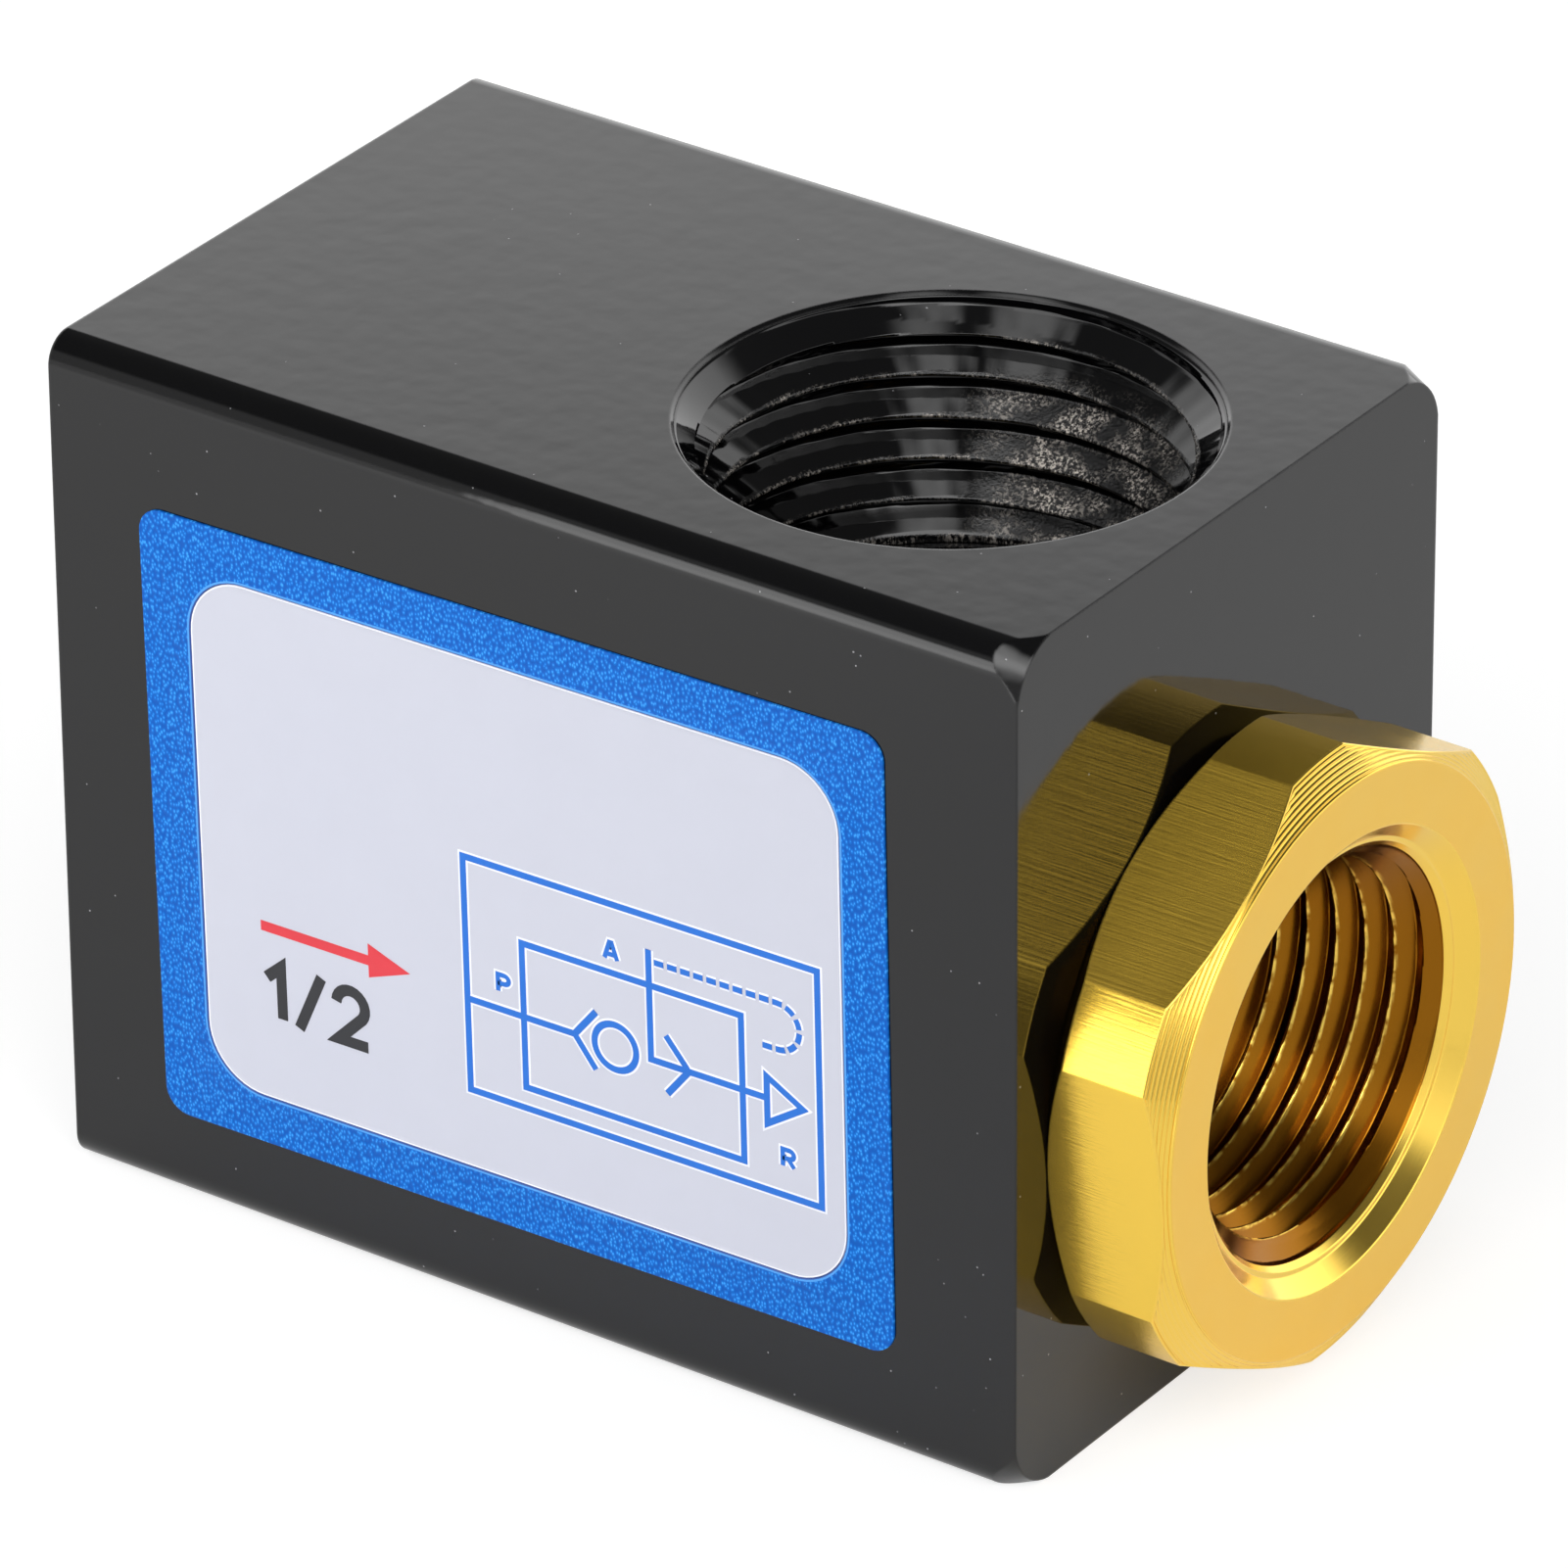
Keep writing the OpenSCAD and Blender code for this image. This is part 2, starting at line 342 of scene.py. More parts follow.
@dataclass(frozen=True)
class MouldedRubber(Finish):
    """Moulded rubber, which gives the eye a dull dark skin with a fine bloom."""

    colour: str = "#161617"
    bloom: str = "#2A2A2C"
    roughness: float = 0.5
    bloom_size: float = 1.5
    grain_size: float = 0.15
    grain_depth: float = 0.01

    def surface(self, add: AddNode) -> Node:
        """Adds the rubber with its bloom.

        Args:
            add: Adds a node to the material.

        Returns:
            The shader.
        """
        place = add("TexCoord", {}).outputs["Object"]
        cloud = add("TexNoise", {"Scale": per_mm(self.bloom_size), "Detail": 4, "Vector": place})
        colour = add("Mix", {"data_type": "RGBA", "Factor": cloud, "A": srgb(self.colour),
                             "B": srgb(self.bloom)})
        grain = add("TexNoise", {"Scale": per_mm(self.grain_size), "Detail": 2, "Vector": place})
        relief = add("Bump", {"Strength": 0.3, "Distance": self.grain_depth * MM, "Height": grain})
        return add("BsdfPrincipled", {"Base Color": colour, "Roughness": self.roughness, "Normal": relief})


@dataclass(frozen=True)
class PrintedFilm(Finish):
    """Smooth polyester film or the ink on it: to the eye, a slightly glossy colour with a faint cloud."""

    colour: str
    cloud: str
    roughness: float = 0.35
    gloss: float = 0.5
    cloud_size: float = 2.5

    def surface(self, add: AddNode) -> Node:
        """Adds the film.

        Args:
            add: Adds a node to the material.

        Returns:
            The shader.
        """
        place = add("TexCoord", {}).outputs["Object"]
        drift = add("TexNoise", {"Scale": per_mm(self.cloud_size), "Detail": 2, "Vector": place})
        colour = add("Mix", {"data_type": "RGBA", "Factor": drift, "A": srgb(self.colour),
                             "B": srgb(self.cloud)})
        return add("BsdfPrincipled", {"Base Color": colour, "Roughness": self.roughness,
                                      "Specular IOR Level": self.gloss})


@dataclass(frozen=True)
class EmbossedFilm(Finish):
    """Polyester film embossed with a fine leathery grain.

    The eye sees small light crowns close together, a little taller than they are wide, on a deeper ground.
    The lighter crowns are a painted highlight on the grain.
    """

    ground: str
    middle: str
    crown_highlight: str
    spacing: float = 0.15
    squeeze: float = 0.65
    relief: float = 0.03
    drift_spacings: float = 3.0
    drift_share: float = 0.5
    levels: tuple[float, float, float] = (0.3, 0.55, 0.9)
    roughness: float = 0.35
    gloss: float = 0.15

    def surface(self, add: AddNode) -> Node:
        """Adds the film with painted highlights at the middles of scattered cells, uneven in strength.

        Args:
            add: Adds a node to the material.

        Returns:
            The shader.
        """
        place = add("TexCoord", {}).outputs["Object"]
        flat = add("Mapping", {"Rotation": (math.pi / 2, 0, 0), "Scale": (1, 1, self.squeeze),
                               "Vector": place})
        cells = add("TexVoronoi", {"voronoi_dimensions": "2D", "Scale": per_mm(self.spacing), "Vector": flat})
        drift_size = self.drift_spacings * self.spacing
        drift = add("TexNoise", {"Scale": per_mm(drift_size), "Detail": 2, "Vector": place})
        fall = add("Math", {"operation": "MULTIPLY_ADD", 0: drift, 1: self.drift_share, 2: cells})
        # Lightest at the middles of the cells: a painted highlight on the grain
        colour = add("ValToRGB", {"Fac": fall})
        steps = colour.color_ramp.elements
        steps.new(self.levels[1])
        for step, level, code in zip(steps, self.levels, (self.crown_highlight, self.middle, self.ground)):
            step.position = level
            step.color = srgb(code)
        relief = add("Bump", {"invert": True, "Strength": 0.5, "Distance": self.relief * MM, "Height": fall})
        return add("BsdfPrincipled", {"Base Color": colour, "Roughness": self.roughness,
                                      "Specular IOR Level": self.gloss, "Normal": relief})


@dataclass(frozen=True)
class StudioFloor(Finish):
    """Matt white studio paper, which looks white in the open and keeps the shadow under the valve."""

    name: str = "matt_white_studio_paper"
    colour: str = "#F2F2F2"
    mirror_glow: float = 0.15
    seen_colour: str = "#A8A8A8"
    seen_glow: float = 0.72

    def surface(self, add: AddNode) -> Node:
        """Adds paper that the camera sees lifted to white, mirrors a little lifted, and other light as it is.

        Args:
            add: Adds a node to the material.

        Returns:
            The shader.
        """
        plain = add("BsdfDiffuse", {"Color": srgb(self.colour)})
        faint = add("Emission", {"Strength": self.mirror_glow})
        mirrored = add("AddShader", {0: plain, 1: faint})
        dimmed = add("BsdfDiffuse", {"Color": srgb(self.seen_colour)})
        bright = add("Emission", {"Strength": self.seen_glow})
        lifted = add("AddShader", {0: dimmed, 1: bright})
        ray = add("LightPath", {}).outputs
        unseen = add("MixShader", {0: ray["Is Glossy Ray"], 1: plain, 2: mirrored})
        seen = add("Math", {"operation": "MAXIMUM", 0: ray["Is Camera Ray"], 1: ray["Is Transmission Ray"]})
        return add("MixShader", {0: seen, 1: unseen, 2: lifted})


def signed_volume(points: Array, polygons: Array) -> float:
    """Adds up the tetrahedra from the origin to each polygon's triangles; inward ones count below zero."""
    corners = points[polygons]
    return float(np.sum(corners[:, :1] * np.cross(corners[:, 1:-1], corners[:, 2:])) / 6)


@dataclass
class Loft:
    """Gathers runs of rings into one mesh.

    A run is an array of rings of points. Neighbouring rings are joined by quads, and so are neighbouring
    points of each ring. A run that comes back on itself also joins its last ring to its first, and any other
    run is closed with a flat face at each end. Each run is turned so that it faces outwards.
    """

    points: list[Array] = field(default_factory=list)
    faces: list[list[int]] = field(default_factory=list)
    finishes: list[int] = field(default_factory=list)

    def add(self, rings: Array, closed: bool, finishes: Array | int = 0) -> None:
        """Adds one run.

        Args:
            rings: Points in metres, of shape (rings, points of a ring, 3).
            closed: Whether the last ring joins the first.
            finishes: Number of the finish from each ring to the next, or one number for the run.
        """
        rows, columns = rings.shape[:2]
        number = np.arange(rows * columns).reshape(rows, columns)
        here = number if closed else number[:-1]
        there = np.roll(number, -1, axis=0)[:len(here)]
        quads = np.stack([here, np.roll(here, -1, 1), np.roll(there, -1, 1), there], axis=-1).reshape(-1, 4)
        ends = np.empty((0, columns), int) if closed else np.stack([number[0, ::-1], number[-1]])
        flat = rings.reshape(-1, 3)
        inward = signed_volume(flat, quads) + signed_volume(flat, ends) < 0
        step = -1 if inward else 1
        start = sum(len(part) for part in self.points)
        given = np.broadcast_to(finishes, (rows,))
        self.faces += (quads[:, ::step] + start).tolist() + (ends[:, ::step] + start).tolist()
        caps = [int(given[0]), int(given[-1])][:len(ends)]
        self.finishes += np.repeat(given[:len(here)], columns).tolist() + caps
        self.points.append(flat)

    def build(self, name: str, finishes: list[Finish], attributes: dict[str, Array] | None = None,
              normals: Array | None = None) -> bpy.types.Object:
        """Puts the runs into one mesh object at the origin.

        Args:
            name: Name of the piece.
            finishes: Finishes, in the order of their numbers.
            attributes: Values for each point, by the name that a finish reads.
            normals: Normal at each point, or zeros where the faces give it.

        Returns:
            The new object.
        """
        mesh = bpy.data.meshes.new(name)
        mesh.from_pydata(np.concatenate(self.points).tolist(), [], self.faces)
        mesh.polygons.foreach_set("material_index", np.array(self.finishes, np.int32))
        mesh.polygons.foreach_set("use_smooth", np.ones(len(self.faces), bool))
        for finish in finishes:
            mesh.materials.append(finish.material())
        for key, values in (attributes or {}).items():
            layer = mesh.attributes.new(key, "FLOAT", "POINT")
            layer.data.foreach_set("value", values.astype(np.float32).ravel())
        mesh.set_sharp_from_angle(angle=SHARP_ANGLE)
        if normals is not None:
            mesh.normals_split_custom_set_from_vertices(normals.reshape(-1, 3).tolist())
        piece = bpy.data.objects.new(name, mesh)
        bpy.context.scene.collection.objects.link(piece)
        return piece


def fix(piece: bpy.types.Object, slot: str, *nodes: str) -> bpy.types.Object:
    """Fixes a new piece to the valve's still body.

    Args:
        piece: The piece, in place.
        slot: The record's material slot; not used.
        nodes: Solids that it stands for.

    Returns:
        The same piece.
    """
    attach(piece, "valve")
    if nodes:
        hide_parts(*nodes)
    log.info("%s: %d faces", piece.name, len(piece.data.polygons))
    return piece


@dataclass(frozen=True)
class PortAxis:
    """Where a port lies: the middle of its mouth in metres, its outward axis, and two ways across it."""

    mouth: Array
    out: Array
    across: Array
    up: Array

    def points(self, depth: Array, radius: Array, angle: Array) -> Array:
        """Places points in metres: in from the mouth by the depth, and out from the axis by the radius."""
        depth, radius, angle = np.broadcast_arrays(depth, radius, angle)
        return self.mouth + MM * (radius[..., None] * self.outward(angle) - depth[..., None] * self.out)

    def outward(self, angle: Array) -> Array:
        """Direction from the axis at an angle."""
        return np.cos(angle)[..., None] * self.across + np.sin(angle)[..., None] * self.up


def port_axis(name: str, node: str, across: tuple[float, float, float]) -> PortAxis:
    """Finds a port in the frame, with its mouth on the face of the node that it opens in.

    Args:
        name: Name of the port's mount in the record.
        node: Node whose face the port opens in.
        across: Direction across the port at which its angle is zero.

    Returns:
        The port's axis.
    """
    mount = next(m for m in frame["record"]["mounts"] if m["name"] == name)
    out = np.array(mount["axis"], float)
    low, high = (np.array(corner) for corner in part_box(node))
    face = np.where(out > 0, high, low)
    mouth = np.array(mount["pos_m"]) * (1 - np.abs(out)) + face * np.abs(out)
    first = np.array(across, float)
    return PortAxis(mouth, out, first, np.cross(out, first))


def smooth_step(value: Array, low: float, high: float) -> Array:
    """Goes smoothly from 0 at the low value to 1 at the high one, by a cubic that is level at both."""
    share = np.clip((value - low) / (high - low), 0, 1)
    return share * share * (3 - 2 * share)


@dataclass(frozen=True)
class PipeThread:
    """A right-handed pipe thread in a bore, from the cone at its mouth to where it runs out.

    Attributes:
        root_r: Radius at the bottom of the groove.
        crest_r: Radius at the top of the ridge.
        pitch: Distance from ridge to ridge.
        cone: Depth and radius at which the 45 degree cone of the mouth starts.
        end: Depth at which the thread ends.
        run_out: Length over which the groove runs out before that.
        wide_root: How far the wave is moved towards the root, which makes the crests narrow.
        coat: Height of the waves that an uneven coat leaves.
        steepness: How far the wave is driven past its limits, which steepens the flanks.
    """

    root_r: float
    crest_r: float
    pitch: float
    cone: tuple[float, float]
    end: float
    run_out: float
    wide_root: float
    coat: float = 0.0
    steepness: float = 1.4

    def radius(self, depth: Array, angle: Array) -> Array:
        """Radius of the bore's surface.

        The thread is a triangle wave along the helix, which gives straight flanks. Past its knee it is bent
        over by a square, so that it lies level where it reaches 1, and it is cut off there, which rounds
        crest and root. The coat adds products of waves of the angle and the depth. Towards its end the groove
        comes up to the crest, and at the mouth the cone is taken where it is wider.

        Args:
            depth: Millimetres in from the mouth.
            angle: Angle about the axis, seen from outside.

        Returns:
            The radius at each place.
        """
        phase = depth / self.pitch + angle / FULL_TURN
        wave = 1 - 4 * np.abs(phase - np.floor(phase) - 0.5) + self.wide_root
        knee = 0.8
        limit = 2 - knee
        driven = np.clip(self.steepness * wave, -limit, limit)
        bent = np.maximum(np.abs(driven) - knee, 0) ** 2 / (2 * (limit - knee))
        share = 0.5 + 0.5 * (driven - np.sign(driven) * bent)
        waves = sum(weight * np.sin(turns * angle + along * depth) * np.sin(others * angle - back * depth)
                    for weight, turns, along, others, back in COAT_WAVES)
        coat = self.coat * waves * smooth_step(depth, self.cone[0], self.cone[0] + 1)
        left = smooth_step(self.end - depth, 0, self.run_out)
        groove = ((self.root_r - self.crest_r) * share + coat) * left
        return np.maximum(self.cone[1] + self.cone[0] - depth, self.crest_r + groove)

    def normals(self, axis: PortAxis, depth: Array, angle: Array) -> Array:
        """Normals of the surface, from the radius's slopes along the axis and round it.

        Args:
            axis: Where the bore lies.
            depth: Millimetres in from the mouth.
            angle: Angle about the axis.

        Returns:
            Vectors towards the bore's axis, not of unit length.
        """
        step = 0.004
        turn = step / self.root_r
        along = (self.radius(depth + step, angle) - self.radius(depth - step, angle)) / (2 * step)
        around = (self.radius(depth, angle + turn) - self.radius(depth, angle - turn)) / (2 * step)
        tangent = axis.outward(angle + math.pi / 2)
        return around[..., None] * tangent - axis.outward(angle) - along[..., None] * axis.out


@dataclass
class PortThread:
    """The enamelled thread in one port of the block, as a sleeve whose outside is sunk in the bore's wall.

    Attributes:
        name: Name of the piece.
        axis: Where the port lies.
        finish: The enamel in the thread.
        floor: Depth of the port.
        bare_from: Angle in degrees at the middle of the stretch where bare metal shows.
        bare_share: How much of it shows there.
        bare_reach: Angles from that middle where the stretch ends and where it is full, in degrees.
        bare_depth: Depths where the stretch starts and where it is full.
        painted_glint_share: How much bright metal shows along the crests, as a painted highlight.
        painted_glint_height: Height of the part of a crest that has the painted highlight.
        painted_glint_depth: Depths where the painted highlight on the crests starts and where it is full.
    """

    name: str
    axis: PortAxis
    finish: Finish
    floor: float
    bare_from: float
    bare_share: float
    bare_reach: tuple[float, float] = (34.0, 12.0)
    bare_depth: tuple[float, float] = (2.6, 4.2)
    painted_glint_share: float = 0.8
    painted_glint_height: float = 0.09
    painted_glint_depth: tuple[float, float] = (0.8, 1.6)
    root_r: float = 10.4775
    crest_r: float = 9.3155
    pitch: float = 1.814
    run_out: float = 1.3
    wide_root: float = 0.15
    coat: float = 0.05
    wall_gap: float = 0.02
    sunk: float = 0.4
    mouth_bevel: float = 0.15
    turn_rows: int = 24
    columns: int = 288

    def build(self) -> bpy.types.Object:
        """Builds the sleeve: the thread from mouth to floor, never wider than the bore, and a wall back.

        Returns:
            The piece.
        """
        top_r = self.root_r - self.wall_gap
        start = self.mouth_bevel + self.wall_gap
        thread = PipeThread(self.root_r, self.crest_r, self.pitch, (start, top_r), self.floor, self.run_out,
                            self.wide_root, self.coat)
        rows = round((self.floor - start) / self.pitch * self.turn_rows)
        depth = np.linspace(start, self.floor, rows)[:, None]
        angle = np.linspace(0, FULL_TURN, self.columns, endpoint=False)[None, :]
        inner = np.minimum(thread.radius(depth, angle), top_r)
        outer = np.full((2, self.columns), top_r + self.sunk)
        depths = np.concatenate([depth, [[self.floor]], [[start]]])
        loft = Loft()
        loft.add(self.axis.points(depths, np.concatenate([inner, outer]), angle), True)
        bare = np.concatenate([self.bare(depth, angle, inner), np.zeros_like(outer)])
        normals = np.concatenate([thread.normals(self.axis, depth, angle), np.zeros((2, self.columns, 3))])
        normals[[0, rows - 1]] = 0
        return fix(loft.build(self.name, [self.finish], {BARE_AND_GLINT: bare}, normals), "black_body")

    def bare(self, depth: Array, angle: Array, radius: Array) -> Array:
        """Says where bright metal shows: painted highlight on the crests, bare metal on some sides facing the
        mouth.

        Args:
            depth: Millimetres in from the mouth, by rows.
            angle: Angle about the axis, by columns.
            radius: Radius of the thread's surface.

        Returns:
            The share of bare metal at each point.
        """
        away = np.abs((angle - math.radians(self.bare_from) + math.pi) % FULL_TURN - math.pi)
        stretch = smooth_step(-np.degrees(away), -self.bare_reach[0], -self.bare_reach[1])
        level = smooth_step(depth, *self.bare_depth)
        full_slope = 0.05
        facing = smooth_step(-np.gradient(radius, axis=0), 0, full_slope)
        # Painted highlight: bright metal along the crests stands in for glints on the enamel
        crest = smooth_step(self.crest_r + self.painted_glint_height - radius, 0, self.painted_glint_height)
        painted_glint = self.painted_glint_share * crest * smooth_step(depth, *self.painted_glint_depth)
        return np.maximum(self.bare_share * stretch * level * facing, painted_glint)


@dataclass
class ExhaustCap:
    """The turned cap: nozzle, neck, hexagon with two bevels, and the exhaust port through it, as one surface.

    Depths are measured from the cap's face inwards. A bevel is given by its width across the axis and its
    height along it.
    """

    axis: PortAxis
    block_end: float
    bar_r: float = 13.25
    flat_r: float = 12.25
    flats: int = 6
    flat_columns: int = 21
    corner_columns: int = 9
    turn: float = 4.0
    front_bevel: tuple[float, float] = (1.35, 0.85)
    back_bevel: tuple[float, float] = (1.05, 0.85)
    ring_pitch: float = 0.17
    ring_depth: float = 0.05
    ring_rows: int = 96
    neck_r: float = 10.95
    neck_l: float = 6.2
    groove_r: float = 10.0
    groove_l: float = 1.9
    nozzle_r: float = 8.4
    nozzle_bore_r: float = 6.5
    nozzle_bevel: float = 0.8
    nozzle_end: float = 28.8
    mouth_bevel: float = 0.7
    mouth_step: float = 0.15
    lead_bevel: float = 0.27
    drill_r: float = 7.3
    drill_depth: float = 12.3
    drill_angle: float = 59.0
    thread: PipeThread = PipeThread(root_r=8.331, crest_r=7.475, pitch=1.337, cone=(0.97, 8.331), end=9.5,
                                    run_out=0.9, wide_root=0.2)
    turn_rows: int = 30
    # Crests inside this radius get a painted highlight of light gold, fading in over the step
    painted_glint_r: float = 7.59
    painted_glint_step: float = 0.06
    ease: float = 0.035

    def angles(self) -> Array:
        """Places the columns: even steps on each flat and round corner, and close ones beside every edge.

        Returns:
            Angles about the axis, in radians, once round.
        """
        sector = 360 / self.flats
        edge = math.degrees(math.acos(self.flat_r / self.bar_r))
        close = 0.25
        flat = np.linspace(close - edge, edge - close, self.flat_columns)
        corner = np.linspace(edge + close, sector - edge - close, self.corner_columns)
        columns = np.concatenate([[-edge], flat, [edge], corner])
        return np.radians((self.turn + sector * np.arange(self.flats)[:, None] + columns[None, :]).ravel())

    def outer_radius(self, angle: Array) -> Array:
        """Radius of the hexagon: the flat's distance over the cosine, or the bar's radius if that is less.

        Args:
            angle: Angles about the axis.

        Returns:
            The radius at each angle.
        """
        sector = FULL_TURN / self.flats
        from_flat = (angle - math.radians(self.turn) + sector / 2) % sector - sector / 2
        return np.minimum(self.bar_r, self.flat_r / np.cos(from_flat))

    def corners(self, angle: Array) -> tuple[list[tuple[Any, Any]], list[Cut]]:
        """Lists the corners of the section, from the nozzle's tip over the outside and back through the bore.

        Args:
            angle: Angles about the axis.

        Returns:
            Depth and radius of each corner, and how the face that follows it was made.
        """
        back = self.block_end
        outside = self.outer_radius(angle)
        bevel_out = self.bar_r - self.front_bevel[0]
        bevel_in = self.bar_r - self.back_bevel[0]
        front_at = (outside - bevel_out) * self.front_bevel[1] / self.front_bevel[0]
        back_at = back - (outside - bevel_in) * self.back_bevel[1] / self.back_bevel[0]
        lead_r = self.thread.root_r + self.lead_bevel
        step_r = lead_r + self.mouth_step
        drill_slope = math.tan(math.radians(self.drill_angle))
        tip = self.drill_depth + (self.drill_r - self.nozzle_bore_r) / drill_slope
        shoulder = back + self.neck_l
        listed = [
            (self.nozzle_end, self.nozzle_bore_r, Cut.TURNED),
            (self.nozzle_end, self.nozzle_r - self.nozzle_bevel, Cut.TURNED),
            (self.nozzle_end - self.nozzle_bevel, self.nozzle_r, Cut.TURNED),
            (shoulder, self.nozzle_r, Cut.TURNED),
            (shoulder, self.neck_r - self.nozzle_bevel, Cut.TURNED),
            (shoulder - self.nozzle_bevel, self.neck_r, Cut.TURNED),
            (back + self.groove_l, self.neck_r, Cut.TURNED),
            (back + self.groove_l, self.groove_r, Cut.TURNED),
            (back, self.groove_r, Cut.TURNED),
            (back, bevel_in, Cut.TURNED),
            (back_at, outside, Cut.DRAWN),
            (front_at, outside, Cut.TURNED),
            (0.0, bevel_out, Cut.FACED),
            (0.0, step_r + self.mouth_bevel, Cut.TURNED),
            (self.mouth_bevel, step_r, Cut.TURNED),
            (self.mouth_bevel, lead_r, Cut.TURNED),
            (self.mouth_bevel + self.lead_bevel, self.thread.root_r, Cut.BORED),
            (self.thread.end, self.thread.crest_r, Cut.BORED),
            (self.thread.end, self.drill_r, Cut.BORED),
            (self.drill_depth, self.drill_r, Cut.BORED),
            (tip, self.nozzle_bore_r, Cut.BORED),
        ]
        return [(depth, radius) for depth, radius, _ in listed], [cut for _, _, cut in listed]

    def eased(self, corners: Array) -> Array:
        """Breaks every corner of the section: two points before it and two after, along its own two sides.

        Args:
            corners: Depth and radius of the corners, of shape (corners, columns, 2).

        Returns:
            Four points for each corner, of shape (corners, 4, columns, 2).
        """
        before = np.roll(corners, 1, axis=0) - corners
        after = np.roll(corners, -1, axis=0) - corners
        most_of_side = 0.2
        parts = []
        for side, steps in ((before, (2, 1)), (after, (1, 2))):
            length = np.linalg.norm(side, axis=-1, keepdims=True)
            step = np.minimum(self.ease, most_of_side * length) * side / length
            parts += [corners + count * step for count in steps]
        return np.stack(parts, axis=1)

    def bevel_rows(self, start: Array, end: Array) -> Array:
        """Cuts the front bevel with the tool's rings: scallops between sharp crests, evenly spaced in radius.

        Rows lie at even radii. Where a flat cuts the bevel short, the rows outside it are drawn in close
        together just inside its edge. A scallop is a parabola from crest to crest, and fades out at both
        edges of the bevel.

        Args:
            start: Depth and radius where the bevel leaves the flats, for each column.
            end: Depth and radius where it meets the face.

        Returns:
            Rows between the two, of shape (rows, columns, 2).
        """
        closest, fade = 1e-4, 0.04
        width, height = self.front_bevel
        even = np.linspace(self.bar_r, float(end[:, 1].max()), self.ring_rows + 2)[1:-1, None]
        close = closest * np.arange(1, self.ring_rows + 1)[:, None]
        radius = np.minimum(even, start[None, :, 1] - close)
        up_bevel = radius - self.bar_r + width
        place = up_bevel / self.ring_pitch
        scallop = 1 - (2 * (place - np.floor(place)) - 1) ** 2
        soft = np.clip(np.minimum(start[None, :, 1] - radius, radius - end[None, :, 1]) / fade, 0, 1)
        cut = soft * self.ring_depth * scallop / math.hypot(width, height)
        depth = up_bevel * height / width
        return np.stack([depth + cut * width, radius - cut * height], axis=-1)

    def thread_depths(self, start: Array, end: Array) -> Array:
        """Depths of the exhaust thread's rows.

        Args:
            start: Depth and radius where the lead bevel ends, for each column.
            end: Depth and radius where the thread ends.

        Returns:
            One depth for each row, as a column.
        """
        first, last = float(start[0, 0]), float(end[0, 0])
        rows = round((last - first) / self.thread.pitch * self.turn_rows)
        return np.linspace(first, last, rows + 2)[1:-1, None]

    def build(self, finishes: dict[Cut, Finish]) -> bpy.types.Object:
        """Builds the cap by carrying its section round the axis.

        The front bevel and the thread have rows of their own between their corners. The thread's rows also
        say how they are shaded and where its crests get a painted highlight.

        Args:
            finishes: Finish of the faces made in each way.

        Returns:
            The piece.
        """
        angle = self.angles()
        corners, cuts = self.corners(angle)
        spread = [np.broadcast_arrays(depth, radius, angle)[:2] for depth, radius in corners]
        eased = self.eased(np.moveaxis(np.array(spread), 1, -1))
        order = list(finishes)
        bevel = cuts.index(Cut.FACED) - 1
        lead = cuts.index(Cut.BORED)
        rows: list[Array] = []
        normals: list[Array] = []
        bare: list[Array] = []
        kinds: list[int] = []
        for number, cut in enumerate(cuts):
            last = eased[number, -1]
            following = eased[(number + 1) % len(cuts), 0]
            extra = np.empty((0, len(angle), 2))
            if number == bevel:
                extra = self.bevel_rows(last, following)
            plain_rows = eased.shape[1] + len(extra)
            shading = np.zeros((plain_rows, len(angle), 3))
            painted_glint = np.zeros((plain_rows, len(angle)))
            if number == lead:
                depth, across = np.broadcast_arrays(self.thread_depths(last, following), angle)
                extra = np.stack([depth, self.thread.radius(depth, across)], axis=-1)
                shading = np.concatenate([shading, self.thread.normals(self.axis, depth, across)])
                # Painted highlight of light gold along the thread's crests
                painted_glint = np.concatenate([painted_glint, smooth_step(self.painted_glint_r - extra[..., 1], 0, self.painted_glint_step)])
            rows += [eased[number], extra]
            normals.append(shading)
            bare.append(painted_glint)
            kinds += [order.index(cuts[number - 1])] + [order.index(cut)] * (len(shading) - 1)
        section = np.concatenate(rows)
        loft = Loft()
        loft.add(self.axis.points(section[..., 0], section[..., 1], angle[None, :]), True, np.array(kinds))
        piece = loft.build("gold_exhaust_cap", list(finishes.values()), {BARE_AND_GLINT: np.concatenate(bare)},
                           np.concatenate(normals))
        return fix(piece, "gold_cap", "exhaust_cap")


def arc(centre: tuple[float, float], radius: float, start: float, end: float, count: int) -> Array:
    """Points along a circle, from one angle in degrees to another, one row each."""
    angle = np.radians(np.linspace(start, end, count))
    return np.array(centre) + radius * np.stack([np.cos(angle), np.sin(angle)], axis=-1)


def rounded_outline(half: tuple[float, float], radius: float, inset: float) -> Array:
    """Outline of a plate with round corners, moved inwards all round by an inset.

    Args:
        half: Half its length and half its height.
        radius: Radius of its corners.
        inset: Distance by which the outline lies inside the plate's edge.

    Returns:
        Points, one row each, anticlockwise from the upper right.
    """
    quarter_points = 13
    quarters = []
    for number, (side, rise) in enumerate(((1, 1), (-1, 1), (-1, -1), (1, -1))):
        centre = (side * (half[0] - radius), rise * (half[1] - radius))
        start = 90 * number
        quarters.append(arc(centre, max(radius - inset, HAIR), start, start + 90, quarter_points))
    return np.concatenate(quarters)


